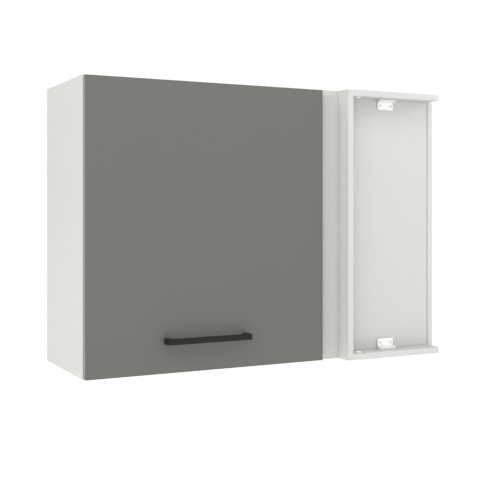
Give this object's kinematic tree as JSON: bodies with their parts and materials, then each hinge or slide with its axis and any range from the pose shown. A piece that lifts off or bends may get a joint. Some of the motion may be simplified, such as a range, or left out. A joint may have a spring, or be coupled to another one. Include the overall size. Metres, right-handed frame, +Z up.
{
  "type": "corner wall cabinet",
  "caption": "Blind-corner wall cabinet of white board with one grey lift-up door, a closed front with a spacer frame beside it, an inner shelf and a hanging rail.",
  "frame": {"origin": "centre of the row of wall-fixing holes in the hanging rail, on the wall plane behind the back sheet", "axes": "+Z up, +Y from the room towards the wall, +X to the right of a person who faces the door"},
  "size_m": [0.942, 0.3376, 0.66],
  "materials": {
    "white_board": "white melamine-faced chipboard, satin, with thin white edging",
    "back_sheet": "white-painted hardboard",
    "grey_front": "warm grey faced board, matt",
    "grey_edge": "grey edge band, matt",
    "black_metal": "matt black powder coat",
    "white_plastic": "moulded white plastic",
    "clear_plastic": "soft translucent plastic",
    "plated_steel": "nickel-plated steel",
    "zinc_steel": "zinc-plated steel",
    "chrome_steel": "hard-chromed piston rod",
    "grey_tube": "light grey lacquered steel tube",
    "black_plastic": "black nylon",
    "beech": "fluted beech dowel"
  },
  "bodies": {
    "cabinet": {"left_side": "white_board", "right_side": "white_board", "top_panel": "white_board", "bottom_panel": "white_board", "back_panel": "back_sheet", "back_nails": "zinc_steel", "hanging_rail": "white_board", "cam_bolts": "zinc_steel", "cam_locks": "zinc_steel", "cam_covers": "white_plastic", "wooden_dowels": "beech", "shelf": "white_board", "shelf_pins": "plated_steel", "blind_panel": "white_board", "blind_panel_screws": "zinc_steel", "spacer_side": "white_board", "spacer_top": "white_board", "spacer_bottom": "white_board", "spacer_screws": "zinc_steel", "centre_bracket_top": "white_plastic", "centre_bracket_bottom": "white_plastic", "bracket_screws": "zinc_steel", "hinge_arm_left": "plated_steel", "hinge_arm_right": "plated_steel", "hinge_plate_left": "plated_steel", "hinge_plate_right": "plated_steel", "hinge_arm_rivets": "plated_steel", "hinge_plate_screws": "plated_steel", "hinge_arm_screws": "plated_steel", "strut_foot_bracket": "zinc_steel", "strut_foot_screws": "zinc_steel"},
    "door": {"door_panel": "grey_front", "door_edge_band": "grey_edge", "door_bumpers": "clear_plastic", "handle": "black_metal", "handle_screws": "zinc_steel", "hinge_cup_left": "plated_steel", "hinge_cup_right": "plated_steel", "hinge_cup_pins": "plated_steel", "hinge_cup_screws": "plated_steel", "strut_head_bracket": "zinc_steel", "strut_head_screws": "zinc_steel"},
    "hinge_links": {"hinge_link_left": "plated_steel", "hinge_link_right": "plated_steel"},
    "strut_cylinder": {"strut_tube": "grey_tube", "strut_gland": "black_plastic", "strut_foot_socket": "black_plastic"},
    "strut_rod": {"strut_rod": "chrome_steel", "strut_piston": "zinc_steel", "strut_head_socket": "black_plastic", "strut_head_ball": "zinc_steel"}
  },
  "joints": [
    {"name": "door_lift", "type": "hinge", "parent": "cabinet", "child": "door", "pos_m": [0, -0.3006, 0.0425], "axis": [-1, 0, 0], "range_deg": [0, 90]},
    {"name": "hinge_links_turn", "type": "hinge", "parent": "door", "child": "hinge_links", "pos_m": [0, -0.299, 0.033], "axis": [1, 0, 0], "range_deg": [0, 90]},
    {"name": "strut_swing", "type": "hinge", "parent": "cabinet", "child": "strut_cylinder", "pos_m": [-0.441, -0.24, -0.23], "axis": [1, 0, 0], "range_deg": [0, 22.32]},
    {"name": "strut_stroke", "type": "slide", "parent": "strut_cylinder", "child": "strut_rod", "axis": [0, -0.1423, 0.9898], "range_m": [0, 0.08401]}
  ],
  "couplings": [
    {"joint": "hinge_links_turn", "follows": "door_lift", "ratio": 1},
    {"joint": "strut_swing", "follows": "door_lift", "ratio": 0.24804},
    {"joint": "strut_stroke", "follows": "door_lift", "m_per_rad": 0.053476}
  ]
}
